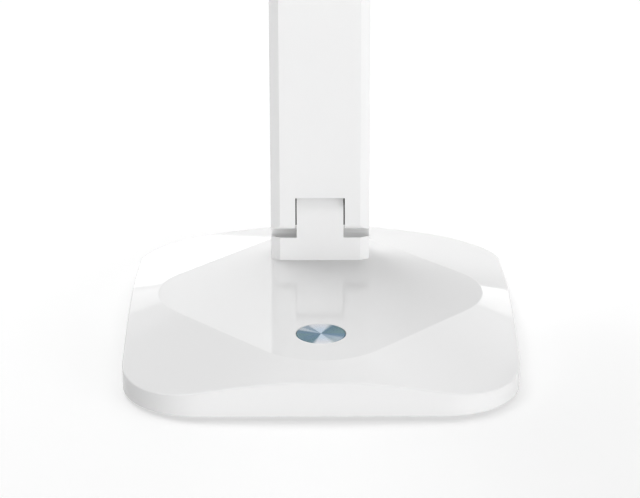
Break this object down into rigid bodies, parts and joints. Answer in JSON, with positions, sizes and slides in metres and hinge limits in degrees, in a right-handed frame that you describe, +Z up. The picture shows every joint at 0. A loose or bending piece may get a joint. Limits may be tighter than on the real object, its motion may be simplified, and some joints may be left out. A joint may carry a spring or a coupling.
{
  "type": "desk lamp",
  "caption": "Folding desk lamp: weighted square base with a touch key, upright stem on a friction hinge, and a slim light head that folds flat over stem and base.",
  "frame": {"origin": "centre of the base's underside, where the lamp stands on the table", "axes": "+Z up along the upright stem; the head points to the front, -Y, and +X is to the right as seen from the front"},
  "size_m": [0.15, 0.3153, 0.335],
  "materials": {
    "white_shell": "glossy injection-moulded white plastic",
    "bottom_plate": "finely textured white plastic",
    "pad_rubber": "light grey anti-slip rubber",
    "steel_plate": "cold-rolled steel plate",
    "zinc_screws": "bright zinc plating",
    "spring_steel": "oiled spring steel",
    "washer_plastic": "natural acetal",
    "spun_metal": "fine concentric turned rings",
    "foam": "conductive foam",
    "circuit_board": "green solder mask",
    "chips": "black moulding compound",
    "socket_steel": "bright nickel plating",
    "battery_film": "blue shrink film",
    "lead_jacket": "red lead jacket",
    "diffuser": "opal light-spreading sheet",
    "white_board": "aluminium-core board with white solder mask",
    "led_phosphor": "yellow phosphor in clear silicone"
  },
  "bodies": {
    "base": {"base_cover": "white_shell", "base_bottom": "bottom_plate", "anti_slip_pad": "pad_rubber", "counterweight": "steel_plate", "weight_screws": "zinc_screws", "base_screws": "zinc_screws", "hinge_block": "white_shell", "hinge_mount_plate": "steel_plate", "hinge_block_screws": "zinc_screws", "touch_key": "spun_metal", "touch_foam": "foam", "control_board": "circuit_board", "board_chips": "chips", "board_screws": "zinc_screws", "usb_board": "circuit_board", "usb_socket": "socket_steel", "battery_pack": "battery_film", "base_leads": "lead_jacket"},
    "stem": {"stem_front": "white_shell", "stem_rear": "white_shell", "stem_screws": "zinc_screws", "stem_lead": "lead_jacket", "lower_hinge_bolt": "zinc_screws", "lower_hinge_nut": "zinc_screws", "lower_spring_washer": "spring_steel", "lower_friction_washers": "washer_plastic", "upper_hinge_bolt": "zinc_screws", "upper_hinge_nut": "zinc_screws", "upper_spring_washer": "spring_steel", "upper_friction_washers": "washer_plastic"},
    "head": {"head_shell": "white_shell", "head_bezel": "white_shell", "diffuser": "diffuser", "led_board": "white_board", "leds": "led_phosphor", "head_knuckle": "white_shell", "knuckle_screws": "zinc_screws", "bezel_screws": "zinc_screws", "head_lead": "lead_jacket"}
  },
  "joints": [
    {"name": "stem_fold", "type": "hinge", "parent": "base", "child": "stem", "pos_m": [0, 0.0387, 0.0368], "axis": [1, 0, 0], "range_deg": [0, 90]},
    {"name": "head_tilt", "type": "hinge", "parent": "stem", "child": "head", "pos_m": [0, 0.0387, 0.3168], "axis": [1, 0, 0], "range_deg": [-90, 90]}
  ]
}
